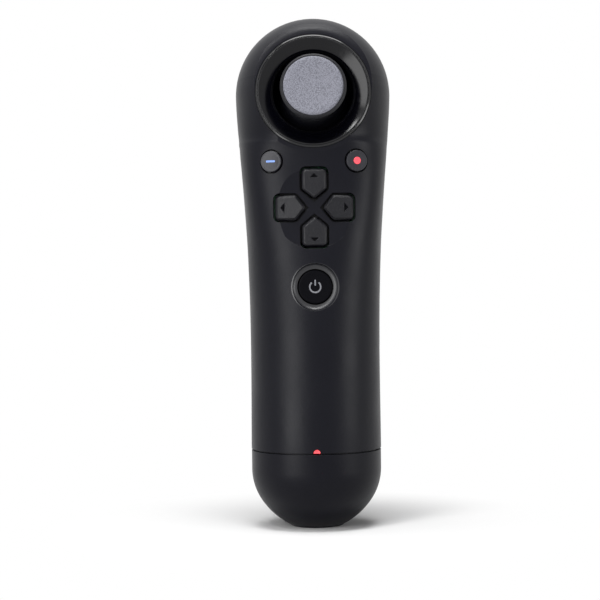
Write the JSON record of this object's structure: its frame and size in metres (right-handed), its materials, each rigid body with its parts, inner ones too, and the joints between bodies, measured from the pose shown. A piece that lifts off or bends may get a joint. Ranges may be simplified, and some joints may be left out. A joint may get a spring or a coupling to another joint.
{
  "type": "game_controller",
  "caption": "One-handed wand controller with a thumb stick in a glossy funnel, direction keys, round buttons and rear keys",
  "frame": {"origin": "centre of the flat end face that the wand stands on", "axes": "+Z along the wand to its head, -Y out of the face with the thumb stick, +X to the right seen from that side"},
  "size_m": [0.042, 0.0481, 0.138],
  "materials": {
    "case_black": "fine matte moulded plastic",
    "cap_black": "satin moulded plastic",
    "gloss_black": "polished",
    "key_black": "satin moulded plastic",
    "stick_grey": "leather grained rubber",
    "lens_red": "translucent red",
    "inner_plastic": "moulded nylon",
    "pad_rubber": "silicone rubber",
    "board_green": "solder resist",
    "chip_black": "moulded package",
    "screw_steel": "zinc plated",
    "pin_steel": "ground",
    "port_metal": "tin plated",
    "cell_wrap": "shrink wrapped",
    "lead_cover": "flexible insulation"
  },
  "bodies": {
    "root": {"front_shell": "case_black", "rear_shell": "case_black", "end_cap": "cap_black", "stick_bezel": "gloss_black", "indicator_lens": "lens_red", "case_screws": "screw_steel", "stick_housing": "port_metal", "sensor_across": "chip_black", "sensor_along": "chip_black", "click_switch": "chip_black", "stick_spring": "pin_steel", "stick_board": "board_green", "stick_board_screws": "screw_steel", "dpad_pad": "pad_rubber", "left_pad": "pad_rubber", "right_pad": "pad_rubber", "home_pad": "pad_rubber", "bumper_pad": "pad_rubber", "trigger_pin": "pin_steel", "trigger_spring": "pin_steel", "trigger_pad": "pad_rubber", "trigger_bracket": "inner_plastic", "bracket_screws": "screw_steel", "main_board": "board_green", "board_screws": "screw_steel", "main_chip": "chip_black", "radio_can": "port_metal", "indicator_lamp": "lens_red", "port_board": "board_green", "usb_receptacle": "port_metal", "reset_switch": "chip_black", "battery_tray": "inner_plastic", "battery_cell": "cell_wrap", "battery_lead": "lead_cover", "battery_plug": "pad_rubber"},
    "stick_across": {"upper_yoke": "inner_plastic"},
    "stick_cradle": {"lower_yoke": "inner_plastic"},
    "stick_swivel": {"stick_pin": "pin_steel"},
    "stick": {"stick_cap": "key_black", "stick_grip": "stick_grey", "stick_shaft": "inner_plastic"},
    "dpad_rocker": {"dpad_pivot": "pin_steel"},
    "dpad": {"dpad": "key_black"},
    "left_button": {"left_button": "key_black"},
    "right_button": {"right_button": "key_black"},
    "home_button": {"home_button": "key_black"},
    "bumper": {"bumper": "key_black"},
    "trigger": {"trigger": "key_black"},
    "reset_plunger": {"reset_plunger": "gloss_black"}
  },
  "joints": [
    {"name": "stick_up_down", "type": "hinge", "parent": "root", "child": "stick_cradle", "pos_m": [0, -0.0003, 0.11499], "axis": [1, 0, 0], "range_deg": [-13, 13], "stiffness_Nm_per_rad": 0.03, "deforming": ["stick_spring"]},
    {"name": "stick_left_right", "type": "hinge", "parent": "stick_cradle", "child": "stick_swivel", "pos_m": [0, -0.0003, 0.11499], "axis": [0, 0.1219, 0.9925], "range_deg": [-13, 13], "stiffness_Nm_per_rad": 0.03, "deforming": ["stick_spring"]},
    {"name": "stick_click", "type": "slide", "parent": "stick_swivel", "child": "stick", "axis": [0, 0.9925, -0.1219], "range_m": [0, 0.0005], "stiffness_N_per_m": 4000},
    {"name": "stick_arch", "type": "hinge", "parent": "root", "child": "stick_across", "pos_m": [0, -0.0003, 0.11499], "axis": [0, 0.1219, 0.9925], "range_deg": [-13, 13]},
    {"name": "dpad_up_down", "type": "hinge", "parent": "root", "child": "dpad_rocker", "pos_m": [0, -0.0105, 0.0857], "axis": [1, 0, 0], "range_deg": [-4, 4], "stiffness_Nm_per_rad": 0.06, "deforming": ["dpad_pad"]},
    {"name": "dpad_left_right", "type": "hinge", "parent": "dpad_rocker", "child": "dpad", "pos_m": [0, -0.0105, 0.0857], "axis": [0, 0, 1], "range_deg": [-4, 4], "stiffness_Nm_per_rad": 0.06, "deforming": ["dpad_pad"]},
    {"name": "left_button_press", "type": "slide", "parent": "root", "child": "left_button", "axis": [0.2419, 0.9703, 0], "range_m": [0, 0.0008], "stiffness_N_per_m": 600, "deforming": ["left_pad"]},
    {"name": "right_button_press", "type": "slide", "parent": "root", "child": "right_button", "axis": [-0.2419, 0.9703, 0], "range_m": [0, 0.0008], "stiffness_N_per_m": 600, "deforming": ["right_pad"]},
    {"name": "home_press", "type": "slide", "parent": "root", "child": "home_button", "axis": [0, 1, 0], "range_m": [0, 0.0005], "stiffness_N_per_m": 800, "deforming": ["home_pad"]},
    {"name": "bumper_press", "type": "slide", "parent": "root", "child": "bumper", "axis": [0, -0.766, -0.6428], "range_m": [0, 0.001], "stiffness_N_per_m": 600, "deforming": ["bumper_pad"]},
    {"name": "trigger_pull", "type": "hinge", "parent": "root", "child": "trigger", "pos_m": [0, 0.015, 0.1205], "axis": [-1, 0, 0], "range_deg": [0, 15], "stiffness_Nm_per_rad": 0.12, "deforming": ["trigger_spring", "trigger_pad"]},
    {"name": "reset_press", "type": "slide", "parent": "root", "child": "reset_plunger", "axis": [0, -1, 0], "range_m": [0, 0.00025], "stiffness_N_per_m": 1500}
  ],
  "couplings": [
    {"joint": "stick_arch", "follows": "stick_left_right", "ratio": 1}
  ]
}
